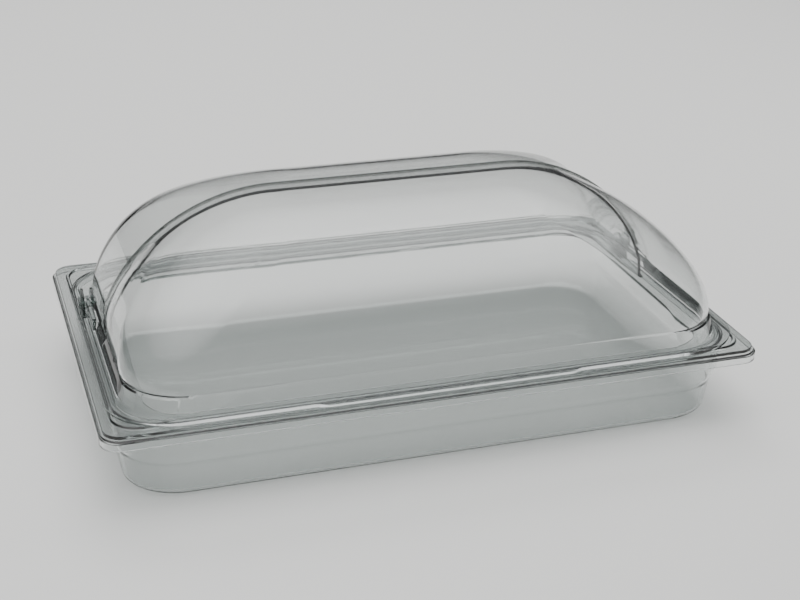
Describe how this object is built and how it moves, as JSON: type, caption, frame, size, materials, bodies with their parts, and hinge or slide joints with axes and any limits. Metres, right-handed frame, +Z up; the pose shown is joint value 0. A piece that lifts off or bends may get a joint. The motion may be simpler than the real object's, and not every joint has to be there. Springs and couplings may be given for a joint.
{
  "type": "food pan with hinged display cover",
  "caption": "Clear full-size food pan, 65 mm deep, with a lift-off display cover whose front hood flips back over a fixed rear hood.",
  "frame": {"origin": "under the middle of the pan's base, on the surface it stands on", "axes": "+X along the long side to the right, -Y towards the serving side with the front hood, +Z up"},
  "size_m": [0.53, 0.325, 0.1845],
  "materials": {
    "pan_clear": "clear moulded polycarbonate, polished",
    "frame_clear": "clear moulded polycarbonate, polished",
    "hood_clear": "clear moulded polycarbonate, polished, the clearest piece",
    "hinge_clear": "clear moulded polycarbonate, thick sections look darker"
  },
  "bodies": {
    "pan": {"food_pan": "pan_clear"},
    "cover": {"cover_frame": "frame_clear", "rear_hood": "hood_clear", "hinge_bracket_left": "hinge_clear", "hinge_bracket_right": "hinge_clear", "hinge_pin_left": "hinge_clear", "hinge_pin_right": "hinge_clear", "pin_cap_left": "hinge_clear", "pin_cap_right": "hinge_clear"},
    "hood": {"front_hood": "hood_clear"}
  },
  "joints": [
    {"name": "cover_lift", "type": "slide", "parent": "pan", "child": "cover", "axis": [0, 0, 1], "range_m": [0, 0.12]},
    {"name": "hood_hinge", "type": "hinge", "parent": "cover", "child": "hood", "pos_m": [0, 0.055, 0.077], "axis": [-1, 0, 0], "range_deg": [0, 105]}
  ]
}
